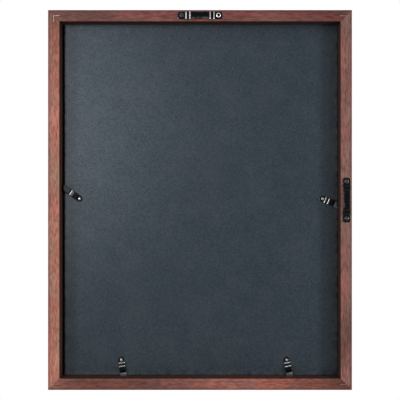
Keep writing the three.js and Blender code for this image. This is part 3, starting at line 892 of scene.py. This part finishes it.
def makeScrew(name, node, place, turn):
    s = screws
    seat = hangers["thickness"]
    shank, head, rim, threadTop = s["shank"], s["headRadius"], s["rim"], seat - s["plain"]
    profile = [(0, threadTop - s["threads"] * s["pitch"] - s["point"])]
    for i in range(s["threads"], 0, -1):
        low = threadTop - i * s["pitch"]
        for share, radius in ((0, shank), (0.3, shank), (0.5, s["thread"]), (0.7, shank)):
            profile.append((radius, low + s["pitch"] * share))
    profile += [(shank, threadTop), (shank, seat),
                (head - 0.1, seat), (head, seat + 0.12), (head, seat + rim)]
    for i in range(1, 9):  # domed head
        a = math.pi / 2 * i / 8
        rise = rim + (s["headHeight"] - rim) * math.sin(a) ** 0.9
        profile.append((0 if i == 8 else head * math.cos(a) ** 0.62, seat + rise))
    cosine, sine = math.cos(math.radians(turn)), math.sin(math.radians(turn))

    def turned(a, b, h):
        return place(a * cosine - b * sine, a * sine + b * cosine, h)

    screw = makePiece(name, *latheMesh(profile, 40, turned), "frame", "black_hanger_steel", [node])
    top = seat + s["headHeight"]
    for alongA in (True, False):  # the cross recess, one slot at a time
        loops = []
        for h, shrink in ((top + 0.5, 1.25), (top - s["crossDepth"], 0.6)):
            a, b = s["crossLength"] / 2 * shrink, s["crossWidth"] / 2 * (0.8 + shrink * 0.2)
            a, b = (a, b) if alongA else (b, a)
            loops.append([turned(x, y, h) for x, y in ((a, b), (-a, b), (-a, -b), (a, -b))])
        cutAway(screw, [loftLoops(loops)])
    axis = place(0, 0, 0)

    def rimGlint(point):
        ring = ease((offAxis(point, axis) - s["glintFrom"]) / 0.25) if point.y > axis.y + seat * mm else 0.0
        return s["rimGlint"] * ring if node == s["glintScrew"] else s["otherWear"]

    finishSteel(screw, hangerSteel, 28, 18, 50, rimGlint, s["edgeAmount"])


sheets = {
    "boardThickness": 3.0, "boardBevel": 0.7, "boardRound": 4, "boardStep": 6.0, "boardWarp": 0.10,
    "warpScale": 14, "wallShadow": 14.0, "edge": 1.1,
    "glassArris": 0.25, "coinHole": 41.0, "holeColumns": 4, "holeRows": 5, "holeSegments": 64, "lip": 0.7,
    "lipSteps": 4, "sight": (266.7, 342.9),
}


def evenSteps(low, high, step):
    count = max(1, round((high - low) / step))
    return [low + (high - low) * i / count for i in range(count + 1)]


def edgedSheet(low, high, step, inset, yOf):
    # a sheet whose edges are rounded by a list of (inset, depth) on the back, and plain on the front
    xs, zs = evenSteps(low.x, high.x, step), evenSteps(low.z, high.z, step)
    lastX, lastZ = len(xs) - 1, len(zs) - 1
    centreX, centreZ = (low.x + high.x) / 2, (low.z + high.z) / 2
    ring = [(i, 0) for i in range(lastX + 1)] + [(lastX, j) for j in range(1, lastZ + 1)]
    ring += [(i, lastZ) for i in range(lastX - 1, -1, -1)] + [(0, j) for j in range(lastZ - 1, 0, -1)]
    verts, faces, layers = [], [], []

    def layer(shrink, y, bend):
        index = {}
        for i, x in enumerate(xs):
            for j, z in enumerate(zs):
                wx = x + (centreX - x) / abs(high.x - centreX) * shrink
                wz = z + (centreZ - z) / abs(high.z - centreZ) * shrink
                index[i, j] = len(verts)
                verts.append((wx, y + (yOf(wx, wz) if bend else 0), wz))
        layers.append(index)

    layer(inset[0][0], high.y, True)
    for shrink, depth in inset[1:]:
        layer(shrink, high.y - depth, False)
    layer(0, low.y, False)
    for first, second in zip(layers, layers[1:]):
        for spot, after in zip(ring, ring[1:] + ring[:1]):
            faces.append([first[spot], first[after], second[after], second[spot]])
    for index in (layers[0], layers[-1]):
        faces += [[index[i, j], index[i + 1, j], index[i + 1, j + 1], index[i, j + 1]]
                  for i in range(lastX) for j in range(lastZ)]
    used = sorted({i for face in faces for i in face})
    renumber = {old: new for new, old in enumerate(used)}
    return [verts[i] for i in used], [[renumber[i] for i in face] for face in faces]


def makeBoard():
    s = sheets
    low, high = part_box("backing_board")
    bevel, scale = s["boardBevel"] * mm, s["warpScale"]
    rounding = [(bevel * (1 - math.sin(a)), bevel * (1 - math.cos(a)))
                for a in (math.pi / 2 * i / s["boardRound"] for i in range(s["boardRound"] + 1))]

    def warp(x, z):
        return -s["boardWarp"] * mm * (0.5 + 0.5 * noise.noise(Vector((x * scale, 2.3, z * scale))))

    board = makePiece("boardSheet", *edgedSheet(low, high, s["boardStep"] * mm, rounding, warp), "frame",
                      "board_paper", ["backing_board"])
    tail, narrow, wide = rivets["tailPocket"] - s["boardThickness"], rivets["hole"], rivets["tailHole"]
    hole = [(0, -4), (wide, -4), (wide, tail), (narrow, tail), (narrow, 1), (0, 1)]
    cutAway(board, [latheMesh(hole, 32, clipPlacer(body)) for body in pivots])
    smoothByAngle(board, 40)
    # painted shadow: a band along the left and right sides is darkened where the rails' walls cast shade
    edge, wallShadow = [], []
    for vertex in board.data.vertices:
        fromSide = min(vertex.co.x - low.x, high.x - vertex.co.x)
        edge.append(ease(1 - min(fromSide, vertex.co.z - low.z) / (s["edge"] * mm)))
        wallShadow.append(ease(1 - fromSide / (s["wallShadow"] * mm)))
    paintMask(board, "edge", edge)
    paintMask(board, "wallShadow", wallShadow)
    paint(board, boardPaper)


def makeGlass():
    low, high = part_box("glass_pane")
    arris = sheets["glassArris"] * mm
    loops = []
    for y, shrink in ((high.y, arris), (high.y - arris, 0), (low.y + arris, 0), (low.y, arris)):
        loops.append([(low.x + shrink, y, low.z + shrink), (high.x - shrink, y, low.z + shrink),
                      (high.x - shrink, y, high.z - shrink), (low.x + shrink, y, high.z - shrink)])
    pane = makePiece("glassSheet", *loftLoops(loops), "frame", "glass", ["glass_pane"], False)
    paint(pane, glass)


def makeTrayFace():
    # each coin hole is a square cell with a round, soft-lipped hole
    s = sheets
    low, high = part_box("coin_tray_face")
    hole, lip, count = s["coinHole"] / 2 * mm, s["lip"] * mm, s["holeSegments"]
    centres, bounds = [], []
    for sight, number, centre, start, end in ((s["sight"][0], s["holeColumns"], middle.x, low.x, high.x),
                                              (s["sight"][1], s["holeRows"], middle.z, low.z, high.z)):
        pitch = (s["coinHole"] + (sight - number * s["coinHole"]) / (number + 1)) * mm
        line = [centre + (i - (number - 1) / 2) * pitch for i in range(number)]
        centres.append(line)
        bounds.append([start] + [(a + b) / 2 for a, b in zip(line, line[1:])] + [end])
    unit = [(math.cos(a), math.sin(a)) for a in (2 * math.pi * (k + 0.5) / count for k in range(count))]
    rounded = [((1 - math.sin(a)) * lip, (1 - math.cos(a)) * lip)
               for a in (math.pi / 2 * i / s["lipSteps"] for i in range(1, s["lipSteps"] + 1))]
    cells = []
    for i, x in enumerate(centres[0]):
        for j, z in enumerate(centres[1]):
            x0, x1, z0, z1 = bounds[0][i], bounds[0][i + 1], bounds[1][j], bounds[1][j + 1]
            rim = []
            for dx, dz in unit:
                reach = min((x1 - x if dx > 0 else x - x0) / max(abs(dx), 1e-9),
                            (z1 - z if dz > 0 else z - z0) / max(abs(dz), 1e-9))
                rim.append((x + dx * reach, z + dz * reach))
            for cornerX, cornerZ in ((x0, z0), (x0, z1), (x1, z0), (x1, z1)):
                near = min(range(count), key=lambda k: math.hypot(rim[k][0] - cornerX, rim[k][1] - cornerZ))
                rim[near] = (cornerX, cornerZ)

            def circle(away, y):
                return [(x + dx * (hole + away), y, z + dz * (hole + away)) for dx, dz in unit]

            loops = [[(px, high.y, pz) for px, pz in rim], circle(lip, high.y)]
            loops += [circle(away, high.y - deep) for away, deep in rounded]
            loops += [circle(away, low.y + deep) for away, deep in reversed(rounded)]
            loops += [circle(lip, low.y), [(px, low.y, pz) for px, pz in rim]]
            cells.append(loftLoops(loops, False))
    sheet = makePiece("trayFaceSheet", *joinShapes(cells), "frame", "tray_velvet", ["coin_tray_face"])
    closeOuterRim(sheet)
    smoothByAngle(sheet, 35)
    paint(sheet, faceVelvet)


def closeOuterRim(piece):
    # joins the front and back outlines of a sheet with side faces
    with meshEdit(piece.data) as bm:
        bmesh.ops.remove_doubles(bm, verts=bm.verts, dist=2e-6)
        bmesh.ops.bridge_loops(bm, edges=[e for e in bm.edges if len(e.link_faces) == 1])
        bmesh.ops.recalc_face_normals(bm, faces=bm.faces)


clips = {
    "width": 6.4, "length": 21.3, "thickness": 0.6, "tipCorner": 0.8, "edgeRound": 0.13,
    # bends are measured from the rivet, and rises says which way each one goes
    "lift": 0.2, "step": 0.9, "bends": (2.4, 5.7, 11.4), "rises": (1, 1, -1), "run": 1.1, "softness": 0.5,
    "extraStations": (1.2, 8.5, 9.9, 13.6, 15.4, 17.3, 19.0),
    # reach and centre of the bare metal and painted glints, and where they begin and end, in mm along the
    # clip
    "bendReach": 0.38, "middleFrom": 7.4, "middleTo": 11.2, "middleEase": 0.6, "ridgeAt": 11.3,
    "ridgeReach": 0.4, "tipFrom": 12.6, "tipEase": 0.5,
    # how much bare metal each clip gets on its bends, middle, ridge and tip: partly worn metal and partly
    # painted glint, set by how each clip faces the lamps
    "clip_left": {"turn": 158.0, "bends": 0.4, "tip": 0.2, "middle": 0.0, "ridge": 0.0},
    "clip_right": {"turn": -35.0, "bends": 0.03, "tip": 0.0, "middle": 0.03, "ridge": 0.30},
    "clip_bottom_right": {"turn": 98.0, "bends": 0.85, "tip": 0.95, "middle": 0.0, "ridge": 0.0},
    "clip_bottom_left": {"turn": 100.5, "bends": 0.85, "tip": 0.95, "middle": 0.0, "ridge": 0.0},
}
rivets = {"shank": 1.25, "head": 2.1, "headHeight": 1.3, "rim": 0.3, "gap": 0.15, "tail": 0.8,
          "hole": 1.4, "tailHole": 2.3, "tailPocket": 1.1, "crownWear": 0.85, "wornTo": 1.5}


def clipPlacer(body):
    # (along the clip from its rivet, across it, out from the board) in mm
    pivot = pivots[body]
    angle = math.radians(clips[body]["turn"])
    along = Vector((math.cos(angle), 0, -math.sin(angle)))
    across = Vector((math.sin(angle), 0, math.cos(angle)))
    base = Vector((pivot.x, boardBack, pivot.z))
    return lambda s, v, h: base + along * s * mm + across * v * mm + Vector((0, h * mm, 0))


def clipEdges(s):
    c = clips
    half = c["width"] / 2
    if s < 0:
        reach = math.sqrt(max(0.0, half ** 2 - s ** 2))
    else:
        over = max(0.0, s - (c["length"] - c["tipCorner"]))
        reach = half - c["tipCorner"] + math.sqrt(max(0.0, c["tipCorner"] ** 2 - over ** 2))
    return -reach, reach


def clipStations():
    c = clips
    half = c["width"] / 2
    stations = set(c["extraStations"]) | {c["length"] - 0.004}
    stations |= {round(-half * math.cos(math.pi / 2 * i / 12), 4) for i in range(1, 13)}
    for start in c["bends"]:
        stations |= {start - c["softness"] / 2 + (c["run"] + c["softness"]) * i / 12 for i in range(13)}
    stations |= {c["length"] - c["tipCorner"] * (1 - math.sin(math.pi / 2 * i / 6)) for i in range(6)}
    return sorted(stations)


def makeClip(body, node):
    c, wear = clips, clips[body]
    place = clipPlacer(body)
    strip = roundedStrip(c, clipStations(), clipEdges, lambda s: s, place)
    clip = makePiece(f"{node}Strip", *strip, body, "black_spring_steel", [node])
    hole = [(0, -1), (rivets["hole"], -1), (rivets["hole"], 3), (0, 3)]
    cutAway(clip, [latheMesh(hole, 32, place)])
    centre, along = place(0, 0, 0), place(1, 0, 0) - place(0, 0, 0)

    def wearAndGlint(point):
        s = (point - centre).dot(along) / along.length_squared
        inMiddle = ease((s - c["middleFrom"]) / c["middleEase"]) * ease((c["middleTo"] - s) / c["middleEase"])
        bends = [bell(s - start - c["run"] / 2, c["bendReach"]) for start in c["bends"][:2]]
        ridge, tip = bell(s - c["ridgeAt"], c["ridgeReach"]), ease((s - c["tipFrom"]) / c["tipEase"])
        found = {"bends": max(bends), "middle": inMiddle, "ridge": ridge, "tip": tip}
        return max(wear[name] * amount for name, amount in found.items())

    finishSteel(clip, springSteel, 40, 14, 40, wearAndGlint)


def makeRivet(body, node):
    r = rivets
    place = clipPlacer(body)
    head, shank, rim = r["head"], r["shank"], r["rim"]
    seat = clips["lift"] + clips["thickness"] + r["gap"]
    front = -sheets["boardThickness"] + r["tailPocket"] - r["tail"] - r["gap"]
    profile = [(0, front + 0.25), (0.9, front + 0.2), (1.4, front), (head - 0.2, front), (head, front + 0.25),
               (head - 0.1, front + r["tail"]), (shank, front + r["tail"]), (shank, seat),
               (head - 0.08, seat), (head, seat + 0.1), (head, seat + rim)]
    for i in range(1, 9):  # domed head
        a = math.pi / 2 * i / 8
        rise = rim + (r["headHeight"] - rim) * math.sin(a)
        profile.append((0 if i == 8 else head * math.cos(a) ** 0.85, seat + rise))
    rivet = makePiece(f"{node}Body", *latheMesh(profile, 40, place), "frame", "black_spring_steel", [node])
    crown = place(0, 0, 0)

    def crownWear(point):
        if point.y <= boardBack:
            return 0.0
        return r["crownWear"] * ease((r["wornTo"] - offAxis(point, crown)) / 0.5)

    finishSteel(rivet, springSteel, 35, 16, 50, crownWear)


for side in ("top", "bottom", "left", "right"):
    makeRail(side)
print("rails built")
makeVNails()
makeBoard()
makeGlass()
makeTrayFace()
paint(frame["nodes"]["coin_tray_base"], shadedBaseVelvet)
print("sheets and V-nails built")
makeHanger("top", "top_hanger")
makeHanger("left", "side_hanger")
for side in ("left", "right", "bottom_right", "bottom_left"):
    makeClip(f"clip_{side}", f"spring_clip_{side}")
    makeRivet(f"clip_{side}", f"clip_rivet_{side}")
print("hangers and clips built")


stage = {
    "floorDrop": 0.35, "floorColour": (0.88, 0.88, 0.88, 1), "floorGlow": 0.9, "ambient": 0.15,
    "floorHalf": (2.4, 1.1, 2.4),  # across, to the front and to the back
}
lamps = {  # spot is measured from the middle of the frame; size is across and up
    "rearSoftbox": {"spot": (0.38, 0.95, 0.18), "size": (0.22, 0.45), "power": 4.6},
    "leftSoftbox": {"spot": (0.60, 0.40, 0.18), "size": (0.09, 0.50), "power": 2.3},
    "topStrip": {"spot": (0.06, 0.40, 0.66), "size": (0.50, 0.05), "power": 0.8},
    "rightSoftbox": {"spot": (-0.60, 0.36, 0.02), "size": (0.12, 0.45), "power": 3.5},
    "frontSoftbox": {"spot": (0.7, -1.1, 0.6), "size": (0.8, 0.8), "power": 9.0},
}
camera = {"distance": 0.70, "picture": 0.40074}  # picture is the width seen in the plane of the rails' backs


def seenDirectly(tree):
    # 1 for rays from the camera, in a reflection or through the glass
    path = addNode(tree, "ShaderNodeLightPath")
    seen = mathNode(tree, "MAXIMUM", path.outputs["Is Camera Ray"], path.outputs["Is Glossy Ray"])
    return mathNode(tree, "MAXIMUM", seen, path.outputs["Is Transmission Ray"])


def makeFloor():
    across, front, back = stage["floorHalf"]
    z = outerLow.z - stage["floorDrop"]
    verts = [(-across, -front, z), (across, -front, z), (across, back, z), (-across, back, z)]
    floor = makePiece("floor", verts, [[0, 1, 2, 3]], smooth=False)
    material, tree, shader, _ = newMaterial(
        "paleFloor", **{"Base Color": stage["floorColour"], "Roughness": 0.9, "Specular IOR Level": 0.1}
    )
    glow = addNode(tree, "ShaderNodeEmission", inputs={"Strength": 1.0})
    share = times(tree, seenDirectly(tree), stage["floorGlow"])
    blendShaders(tree, share, shader, glow, "Material Output")
    paint(floor, material)


def makeWorld():
    world = bpy.data.worlds.new("studio")
    bpy.context.scene.world = world
    world.use_nodes = True
    tree = world.node_tree
    light = tree.nodes["Background"]
    light.inputs["Strength"].default_value = stage["ambient"]
    light.inputs["Color"].default_value = (1, 1, 1, 1)
    white = addNode(tree, "ShaderNodeBackground", inputs={"Strength": 1.0, "Color": (1, 1, 1, 1)})
    blendShaders(tree, seenDirectly(tree), light, white, "World Output")


def makeLamps():
    for name, settings in lamps.items():
        light = bpy.data.lights.new(name, "AREA")
        light.shape = "RECTANGLE"
        light.size, light.size_y = settings["size"]
        light.energy = settings["power"]
        lamp = bpy.data.objects.new(name, light)
        bpy.context.scene.collection.objects.link(lamp)
        lamp.location = middle + Vector(settings["spot"])
        lamp.rotation_euler = (lamp.location - middle).to_track_quat("Z", "Y").to_euler()


def makeCamera():
    lens = bpy.data.cameras.new("camera")
    lens.sensor_width = 36
    lens.lens = lens.sensor_width * camera["distance"] / camera["picture"]
    lens.clip_start = 0.01
    eye = bpy.data.objects.new("camera", lens)
    bpy.context.scene.collection.objects.link(eye)
    eye.location = (middle.x, camera["distance"], middle.z)
    eye.rotation_euler = (math.pi / 2, 0, math.pi)
    bpy.context.scene.camera = eye


makeFloor()
makeWorld()
makeLamps()
makeCamera()
bpy.context.scene.view_settings.view_transform = "Standard"
print("stage, lights and camera set")
